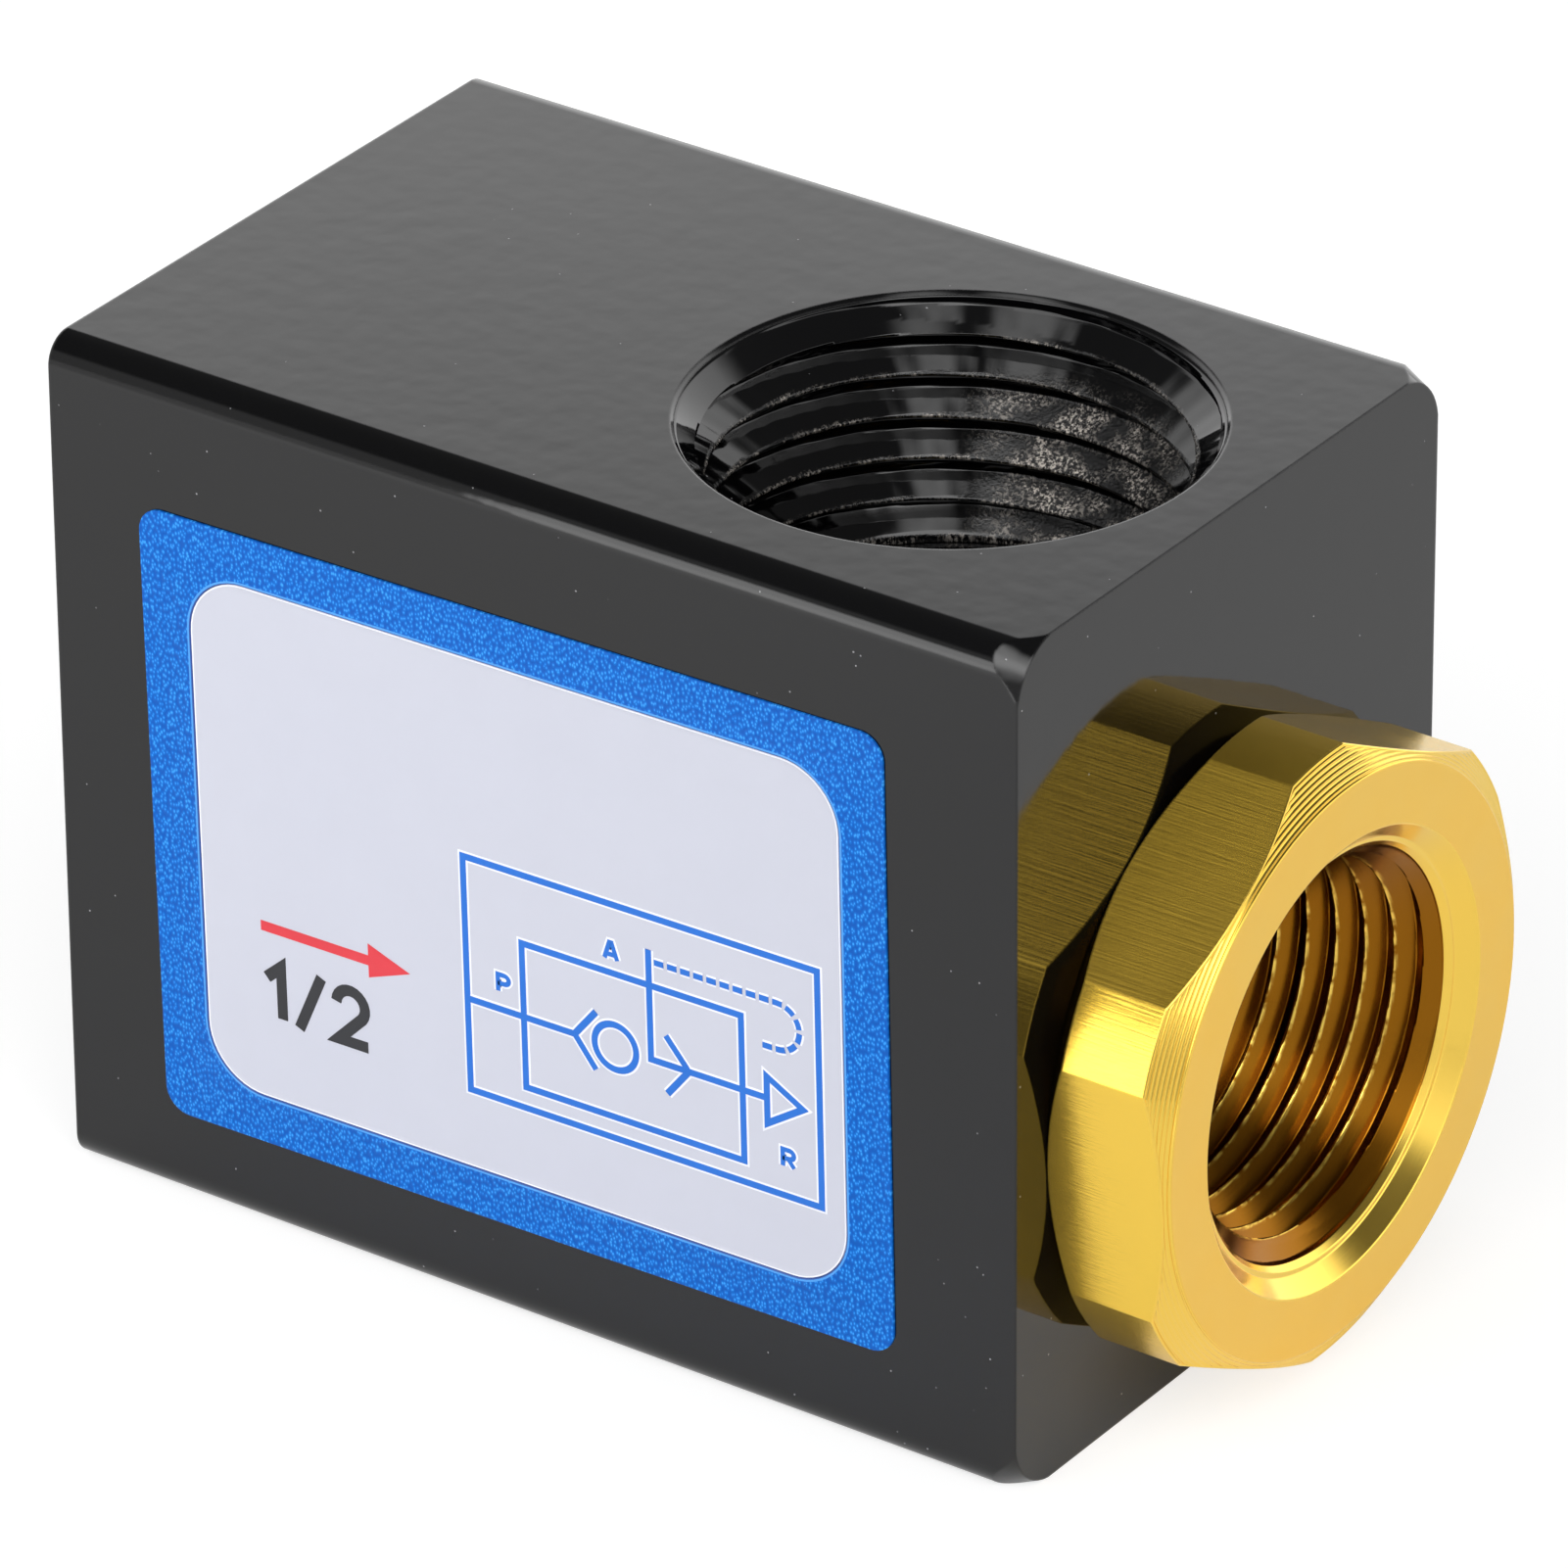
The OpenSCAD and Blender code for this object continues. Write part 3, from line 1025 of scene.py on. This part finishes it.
@dataclass(frozen=True)
class Stroke:
    """A printed line: its path on the label, whether it closes, and its width."""

    path: Array
    closed: bool = False
    width: float = 0.3

    def rings(self, low: float, high: float, spread: float) -> Array:
        """Carries a low trapezium along the path, mitred at each corner.

        At a corner the section lies along the sum of the two sides' normals, divided by one plus their
        product, so the line keeps its width.

        Args:
            low: Height of the line's foot.
            high: Height of its top.
            spread: How much wider than the line the foot is on each side; the top is as much narrower.

        Returns:
            Place on the label and height, of shape (points, 4, 3).
        """
        side = np.diff(np.concatenate([self.path, self.path[:1]]), axis=0)
        side /= np.linalg.norm(side, axis=1, keepdims=True)
        normal = np.stack([-side[:, 1], side[:, 0]], axis=-1)
        before = np.roll(normal, 1, axis=0)
        if not self.closed:
            before[0] = normal[0]
            normal[-1] = before[-1]
        mitre = (before + normal) / (1 + np.sum(before * normal, axis=1, keepdims=True))
        across = np.array([-1, 1, 1, -1]) * (self.width / 2 + np.array([spread, spread, -spread, -spread]))
        flat = self.path[:, None, :] + mitre[:, None, :] * across[None, :, None]
        height = np.broadcast_to(np.array([low, low, high, high]), flat.shape[:2])
        return np.concatenate([flat, height[..., None]], axis=-1)


def line(*points: tuple[float, float], closed: bool = False) -> Stroke:
    """Makes a stroke of the usual width through the points it is given."""
    return Stroke(np.array(points, float), closed)


def box_line(left: float, low: float, right: float, high: float) -> Stroke:
    """Makes a closed rectangle from two of its corners."""
    return line((left, low), (right, low), (right, high), (left, high), closed=True)


def dashes(path: Array, length: float, pitch: float, width: float) -> list[Stroke]:
    """Cuts a path into even dashes, at places measured along it.

    Args:
        path: Points of the path.
        length: Length of a dash.
        pitch: Distance from dash to dash.
        width: Width of the dashes.

    Returns:
        The dashes.
    """
    dash_points = 4
    along = np.concatenate([[0], np.cumsum(np.linalg.norm(np.diff(path, axis=0), axis=1))])
    starts = np.arange(0, along[-1] - length / 2, pitch)
    spans = np.minimum(starts[:, None] + np.linspace(0, length, dash_points)[None, :], along[-1])
    points = np.stack([np.interp(spans, along, path[:, axis]) for axis in (0, 1)], axis=-1)
    return [Stroke(dash, False, width) for dash in points]


class Glyph(Enum):
    """Letters and numerals, as paths on a body one unit high."""

    P = "p"
    A = "a"
    R = "r"
    ONE = "1"
    SLASH = "/"
    TWO = "2"

    def paths(self) -> list[Array]:
        """Lists the pen's paths, with round stretches as arcs.

        Returns:
            Points of each path.
        """
        bowl = np.concatenate([[(0, 0), (0, 1)], arc((0.36, 0.74), 0.26, 90, -90, 11), [(0, 0.48)]])
        leg = np.array([(0.3, 0.48), (0.62, 0)])
        gable = np.array([(0, 0), (0.29, 1), (0.41, 1), (0.7, 0)])
        bar = np.array([(0.12, 0.28), (0.58, 0.28)])
        hook = np.concatenate([arc((0.3, 0.7), 0.3, 175, -38, 15), [(0.02, 0), (0.64, 0)]])
        drawn = {
            Glyph.P: [bowl],
            Glyph.A: [gable, bar],
            Glyph.R: [bowl, leg],
            Glyph.ONE: [np.array([(0, 0.74), (0.3, 1), (0.3, 0)])],
            Glyph.SLASH: [np.array([(0, -0.06), (0.5, 1.06)])],
            Glyph.TWO: [hook],
        }
        return drawn[self]

    def strokes(self, corner: tuple[float, float], size: tuple[float, float], width: float) -> list[Stroke]:
        """Draws the glyph from its lower left corner, scaled across and up, with a pen of that width."""
        return [Stroke(np.array(corner) + path * np.array(size), False, width) for path in self.paths()]


def lettering(places: dict[Glyph, tuple[float, float]], size: tuple[float, float],
              width: float) -> list[Stroke]:
    """Draws glyphs of one size, each from its own lower left corner."""
    return [stroke for glyph, corner in places.items() for stroke in glyph.strokes(corner, size, width)]


@dataclass
class Label:
    """The printed film: embossed blue frame, pale panel, flow symbol, port letters, port size and flow arrow.

    Places on the label are measured from its middle, along it and up it. Outlines in steps are given by their
    inset from the edge and their height.
    """

    half: tuple[float, float] = (17.4, 13.35)
    radius: float = 1.1
    thickness: float = 0.1
    turn: float = 1.0
    panel_half: tuple[float, float] = (15.19, 11.19)
    panel_radius: float = 2.6
    panel_shift: tuple[float, float] = (0.1, -0.03)
    panel_height: float = 0.085
    ink_height: float = 0.025
    ink_slope: float = 0.02
    edging_height: float = 0.01
    edging_width: float = 0.16
    layer_step: float = 0.002
    layers: int = 3

    def place(self, flat: Array) -> Array:
        """Lays points of the label on the front of the block, turned as it was stuck on.

        Args:
            flat: Place along and up the label and height above the block, in the last dimension.

        Returns:
            Points in metres.
        """
        low, high = (np.array(corner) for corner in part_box("label"))
        middle = (low + high) / 2
        middle[1] = high[1]
        turn = math.radians(self.turn)
        along = (math.cos(turn), 0, math.sin(turn))
        up = (-math.sin(turn), 0, math.cos(turn))
        return middle + MM * flat @ np.array([along, up, (0, -1, 0)])

    def outline_rows(self, rows: list[tuple[Array, float]]) -> Array:
        """Lays outlines of the label at their heights, as rings in metres."""
        raised = [np.column_stack([flat, np.full(len(flat), high)]) for flat, high in rows]
        return self.place(np.stack(raised))

    def panel_outline(self, inset: float) -> Array:
        """Outline of the pale panel, moved inwards by an inset."""
        return rounded_outline(self.panel_half, self.panel_radius, inset) + np.array(self.panel_shift)

    def build_film(self, finishes: list[Finish]) -> bpy.types.Object:
        """Builds the blue frame as a ring: its edge, its flat, a light rim and a dark groove round the panel.

        The light rim is a painted highlight, and the dark groove is painted shade.

        Args:
            finishes: Finish of the frame, of its rim's painted highlight and of the groove's painted shade.

        Returns:
            The piece.
        """
        top = self.thickness
        edge = ((0, 0), (0, top - 0.03), (0.012, top - 0.008), (0.04, top), (0.1, top))
        rim = ((-0.2, top), (-0.16, top + 0.012), (-0.075, top + 0.012), (-0.03, top - HAIR), (-HAIR, 0))
        rows = [(rounded_outline(self.half, self.radius, inset), high) for inset, high in edge]
        rows += [(self.panel_outline(inset), high) for inset, high in rim]
        loft = Loft()
        loft.add(self.outline_rows(rows), True, np.array([0] * 6 + [1] + [2] * 3))
        return fix(loft.build("label_frame", finishes), "label_film", "label")

    def build_panel(self, finishes: list[Finish]) -> bpy.types.Object:
        """Builds the pale panel as a flat plate with a white edge line, a painted highlight on the film's
        edge.

        Args:
            finishes: Finish of the edge line's painted highlight and of the panel.

        Returns:
            The piece.
        """
        top = self.panel_height
        line_top = top + HAIR / 2
        steps = ((0, 0), (0, top - HAIR), (HAIR, line_top), (0.06, line_top), (0.07, top), (0.3, top))
        rows = [(self.panel_outline(inset), high) for inset, high in steps]
        loft = Loft()
        loft.add(self.outline_rows(rows), False, np.array([0, 0, 0, 0, 1, 1]))
        return fix(loft.build("label_panel", finishes), "label_film")

    def print_strokes(self, name: str, strokes: list[Stroke], finish: Finish, high: float, spread: float,
                      wider: float = 0.0) -> bpy.types.Object:
        """Prints strokes on the panel as one piece, in layers so that strokes that cross share no plane.

        Args:
            name: Name of the piece.
            strokes: Lines to print.
            finish: Their ink.
            high: Height of the ink above the panel.
            spread: How far the ink's sides slope.
            wider: Width added to each line.

        Returns:
            The piece.
        """
        loft = Loft()
        for number, stroke in enumerate(strokes):
            drawn = Stroke(stroke.path, stroke.closed, stroke.width + wider)
            top = self.panel_height + high + self.layer_step * (number % self.layers)
            rings = drawn.rings(self.panel_height - HAIR, top, spread)
            loft.add(self.place(rings), stroke.closed)
        return fix(loft.build(name, [finish]), "label_film")

    def flow_symbol(self) -> list[Stroke]:
        """Draws the circuit symbol: two frames, a ball between two seats, flow lines and a dashed pilot line.

        Returns:
            The strokes.
        """
        middle = -3.75
        ball = Stroke(arc((4.65, middle), 0.98, 0, 352.5, 48), True)
        path = np.concatenate([[(6.6, 0.55)], arc((12.3, -0.46), 1.01, 90, -90, 15), [(11.4, -1.47)]])
        return [
            box_line(-2.35, -7.78, 14.18, 2.48),
            box_line(0.33, -6.85, 10.6, -0.52),
            line((-2.35, middle), (2.73, middle)),
            line((3.77, -2.48), (2.73, middle), (3.7, -5.02)),
            ball,
            line((6.33, 1.03), (6.33, middle), (11.73, middle)),
            line((7.05, -2.5), (8.1, middle), (7.07, -5.02)),
            line((11.73, -2.8), (13.4, middle), (11.73, -4.85), closed=True),
            *dashes(path, 0.43, 0.61, 0.27),
        ]

    def letters(self) -> list[Stroke]:
        """Draws the letters of the three ports beside their lines."""
        places = {Glyph.P: (-0.86, -2.95), Glyph.A: (4.27, 0.08), Glyph.R: (12.4, -6.48)}
        return lettering(places, size=(0.84, 0.72), width=0.22)

    def port_size(self) -> list[Stroke]:
        """Draws the size of the supply and outlet ports, in inches."""
        places = {Glyph.ONE: (-12.1, -7.5), Glyph.SLASH: (-10.6, -7.5), Glyph.TWO: (-8.75, -7.5)}
        return lettering(places, size=(2.3, 2.3), width=0.48)

    def build_arrow(self, finish: Finish) -> bpy.types.Object:
        """Builds the red arrow along the flow from supply to exhaust, as a flat plate.

        Args:
            finish: Its ink.

        Returns:
            The piece.
        """
        tail, neck, tip, middle = -12.3, -7.1, -5.1, -3.55
        shaft, head = 0.22, 0.75
        lower = [(tail, -shaft), (neck, -shaft), (neck, -head)]
        upper = [(along, -up) for along, up in reversed(lower)]
        outline = np.array([*lower, (tip, 0), *upper]) + np.array((0, middle))
        low = self.panel_height - HAIR
        loft = Loft()
        loft.add(self.outline_rows([(outline, low), (outline, low + self.ink_height)]), False)
        return fix(loft.build("flow_arrow", [finish]), "label_film")

    def build(self) -> None:
        """Builds the label's pieces in order."""
        # The lightest blue of the frame is a painted highlight on its grain
        blue = EmbossedFilm("embossed_blue_polyester_film", "#0455B0", "#0468C6", "#3C9CEA")
        # Painted highlight on the rim and painted shade in the groove round the panel
        rim = PrintedFilm("light_blue_painted_highlight", "#3E90DC", "#4698E4", 0.3)
        groove = PrintedFilm("dark_blue_painted_shade", "#1C4590", "#234C98")
        # White painted highlight on the panel's edge and round the printed lines
        white = PrintedFilm("white_painted_highlight", "#E4E6F0", "#E8EAF4")
        pale = PrintedFilm("pale_grey_polyester_film", "#BEC0CC", "#C1C3CF", 0.3)
        ink = PrintedFilm("blue_screen_ink", "#1D66C2", "#2670CE", 0.4, gloss=0.3)
        black = PrintedFilm("black_screen_ink", "#17181C", "#202126", 0.45)
        red = PrintedFilm("red_screen_ink", "#CC2C38", "#D6343F", 0.45)
        self.build_film([blue, rim, groove])
        self.build_panel([white, pale])
        symbol = self.flow_symbol()
        letters = self.letters()
        # White edging under the symbol and letters: a painted highlight on the embossed edges of the lines
        self.print_strokes("symbol_highlight_edging", symbol + letters, white, self.edging_height, self.ink_slope,
                           self.edging_width)
        self.print_strokes("flow_symbol", symbol, ink, self.ink_height, self.ink_slope)
        self.print_strokes("port_letters", letters, ink, self.ink_height, self.ink_slope)
        self.print_strokes("port_size", self.port_size(), black, self.ink_height, self.ink_slope / 2)
        self.build_arrow(red)


@dataclass
class Block:
    """The enamelled block with the threads of its supply and outlet ports."""

    enamel: GlossEnamel = GlossEnamel()
    # Enamel in the threads: bare metal shows through it, and bright metal along the crests is a painted
    # highlight
    thread_enamel: GlossEnamel = GlossEnamel("stoved_black_enamel_in_threads", edge_radius=0.0)
    port_depth: float = 10.3

    def dress(self) -> None:
        """Enamels the block's solid."""
        dress_node("valve_body", self.enamel)

    def build(self) -> None:
        """Builds the two threads.

        Each is given by its port, the direction where its angle is zero, the angle at the middle of the
        stretch where bare metal shows, and how much shows there.
        """
        threads = (("supply", (0, 0, 1), 20, 0.6), ("outlet", (1, 0, 0), 90, 1.0))
        for port, across, angle, share in threads:
            axis = port_axis(port + "_port", "valve_body", across)
            PortThread(port + "_thread", axis, self.thread_enamel, self.port_depth, angle, share).build()


def dress_node(node: str, finish: Finish) -> None:
    """Gives a solid of the frame its finish.

    Args:
        node: Name of the solid.
        finish: Its finish.
    """
    piece = frame["nodes"][node]
    piece.data.materials.clear()
    piece.data.materials.append(finish.material())
    log.info("%s: %s", node, finish.name)


@dataclass
class Seals:
    """The cap's O-ring and the cup that shuttles between the two seats."""

    ring: MouldedRubber = MouldedRubber("moulded_nitrile_rubber")
    cup: MouldedRubber = MouldedRubber("moulded_polyurethane_rubber", "#2B2B2E", "#3A3A3E", 0.42)

    def dress(self) -> None:
        """Gives both seals their rubber."""
        dress_node("cap_o_ring", self.ring)
        dress_node("valve_cup", self.cup)


@dataclass(frozen=True)
class SoftBox:
    """A soft light far off: its direction, its level, and the angles from it at which it ends and is full."""

    way: tuple[float, float, float]
    level: float
    edge: tuple[float, float]


@dataclass
class Studio:
    """White paper, a low bright wall, a dim ceiling, two soft boxes, a panel at the front, and the camera.

    The camera's place is given by the angles at which it looks at the block, its distance, and how far it
    stands aside of and above the line to the middle of the block's base. Its focal length is in photo pixels.
    The paper and the panel are measured in metres.
    """

    azimuth: float = 35.405
    elevation: float = 29.053
    roll: float = -0.424
    distance: float = 526.07
    aside: float = 1.389
    above: float = 15.355
    focal: float = 13583.8
    sensor: float = 36.0
    wall: tuple[float, float] = (0.4, 1.6)
    wall_edge: tuple[float, float] = (24.5, 33.0)
    ceiling: float = 0.12
    key: SoftBox = SoftBox((0.55, -0.47, 0.69), 3.6, (23.0, 13.0))
    fill: SoftBox = SoftBox((0.0, -0.75, 0.66), 2.4, (25.0, 16.0))
    panel_size: tuple[float, float] = (0.09, 0.075)
    panel_place: tuple[float, float, float] = (-0.035, -0.138, 0.0375)
    panel_level: float = 2.2
    paper_r: float = 4.0
    paper_sides: int = 96

    def camera(self) -> None:
        """Sets up the camera at the photo's view."""
        turn, lift, roll = (math.radians(a) for a in (self.azimuth, self.elevation, self.roll))
        back = Vector((math.sin(turn) * math.cos(lift), -math.cos(turn) * math.cos(lift), math.sin(lift)))
        level = Vector((0, 0, 1)).cross(back).normalized()
        upright = back.cross(level)
        right = level * math.cos(roll) + upright * math.sin(roll)
        up = upright * math.cos(roll) - level * math.sin(roll)
        data = bpy.data.cameras.new("camera")
        data.sensor_width = self.sensor
        data.lens = self.focal / PHOTO_PIXELS * self.sensor
        data.clip_start = 0.01
        camera = bpy.data.objects.new("camera", data)
        place = MM * (back * self.distance + right * self.aside + up * self.above)
        camera.matrix_world = Matrix.Translation(place) @ Matrix((right, up, back)).transposed().to_4x4()
        bpy.context.scene.collection.objects.link(camera)
        bpy.context.scene.camera = camera

    def floor(self) -> None:
        """Lays the paper under the valve, as a round sheet with its own colour."""
        rim = arc((0, 0), self.paper_r, 0, 360 - 360 / self.paper_sides, self.paper_sides)
        mesh = bpy.data.meshes.new("paper")
        mesh.from_pydata(np.column_stack([rim, np.zeros(len(rim))]).tolist(), [], [list(range(len(rim)))])
        mesh.materials.append(StudioFloor().material())
        paper = bpy.data.objects.new("paper", mesh)
        bpy.context.scene.collection.objects.link(paper)
        paper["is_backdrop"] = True

    def panel(self) -> None:
        """Stands a soft light panel at the front, low and close, which the cap's corner mirrors as a band.

        An area light spreads its power over four times its area.
        """
        data = bpy.data.lights.new("front_panel", "AREA")
        data.shape = "RECTANGLE"
        data.size, data.size_y = self.panel_size
        data.energy = 4 * self.panel_level * math.prod(self.panel_size)
        lamp = bpy.data.objects.new("front_panel", data)
        lamp.matrix_world = Matrix.Translation(self.panel_place) @ Matrix.Rotation(math.pi / 2, 4, "X")
        lamp.visible_camera = False
        bpy.context.scene.collection.objects.link(lamp)

    def light(self) -> None:
        """Lights the studio by its wall, ceiling and soft boxes, and shows plain white behind the valve.

        The wall is bright behind the valve and less so in front of it, and fades out at its top edge.
        """
        world = bpy.data.worlds.new("studio")
        world.use_nodes = True
        bpy.context.scene.world = world
        world.node_tree.nodes.clear()
        add = partial(add_node, world.node_tree)
        way = add("TexCoord", {}).outputs["Generated"]
        apart = add("SeparateXYZ", {"Vector": way}).outputs
        wall = add("MapRange", {"From Min": -0.7, "From Max": 0.1, "To Min": self.wall[0],
                                "To Max": self.wall[1], "Value": apart["Y"]})
        low, high = (math.sin(math.radians(edge)) for edge in self.wall_edge)
        below = add("MapRange", {"interpolation_type": "SMOOTHSTEP", "From Min": low, "From Max": high,
                                 "To Min": 1, "To Max": 0, "Value": apart["Z"]})
        level = add("Math", {"operation": "MULTIPLY_ADD", 0: wall, 1: below, 2: self.ceiling})
        for box in (self.key, self.fill):
            towards = add("VectorMath", {"operation": "DOT_PRODUCT", 0: way, 1: box.way})
            low, high = (math.cos(math.radians(edge)) for edge in box.edge)
            shine = add("MapRange", {"interpolation_type": "SMOOTHSTEP", "From Min": low, "From Max": high,
                                     "To Max": box.level, "Value": towards})
            level = add("Math", {"operation": "ADD", 0: level, 1: shine})
        ray = add("LightPath", {}).outputs
        looked = add("Math", {"operation": "MAXIMUM", 0: ray["Is Camera Ray"], 1: ray["Is Transmission Ray"]})
        room = add("Background", {"Color": srgb("#FFFFFF"), "Strength": level})
        white = add("Background", {"Color": srgb("#FFFFFF"), "Strength": 1})
        add("OutputWorld", {"Surface": add("MixShader", {0: looked, 1: room, 2: white})})
        bpy.context.scene.view_settings.view_transform = "Standard"


def gold_finishes(axis_z: float) -> dict[Cut, Finish]:
    """Makes the cap's finishes, one for each way its faces were cut.

    Args:
        axis_z: Height of the cap's axis, in metres.

    Returns:
        The finishes.
    """
    looks: dict[Cut, dict[str, Any]] = {
        Cut.TURNED: {"colour": "#F8D058", "roughness": 0.17, "coat": 0.2, "streak": (0.08, 0.08, 1),
                     "relief": 0.002},
        Cut.DRAWN: {"colour": "#F6CC4E", "roughness": 0.22, "coat": 0.1, "streak": (6, 0.1, 0.1),
                    "relief": 0.03, "metallic": 0.87},
        Cut.FACED: {"colour": "#F2C654", "roughness": 0.42, "coat": 0.2, "streak": (0.25, 0.25, 0.25),
                    "relief": 0.004},
        # Painted shade: the bore's gold is a darker, browner copy; its light gold is a painted highlight on
        # the crests
        Cut.BORED: {"colour": "#8E5C14", "roughness": 0.2, "coat": 0.0, "streak": (0.1, 0.1, 1),
                    "relief": 0.002, "painted_glint_colour": "#F4CE60"},
    }
    base = "gold_anodised_aluminium_"
    return {cut: AnodisedGold(base + cut.value, cut, axis_z=axis_z, **look) for cut, look in looks.items()}


def write_sizes() -> None:
    """Works out the box of the solids and that of the finished object, in metres."""
    boxes = {"cad": cad_box, "visual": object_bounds()}
    plain = {name: [list(corner) for corner in corners] for name, corners in boxes.items()}


def main() -> None:
    """Builds the studio and the valve's pieces in order."""
    logging.basicConfig(level=logging.INFO, format="%(name)s %(message)s")
    studio = Studio()
    studio.camera()
    studio.floor()
    studio.panel()
    studio.light()
    block = Block()
    block.dress()
    block.build()
    exhaust = port_axis("exhaust_port", "exhaust_cap", (0, 1, 0))
    block_end = (exhaust.mouth[0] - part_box("valve_body")[1][0]) / MM
    ExhaustCap(exhaust, block_end).build(gold_finishes(float(exhaust.mouth[2])))
    Seals().dress()
    Label().build()
    write_sizes()


if __name__ == "__main__":
    main()
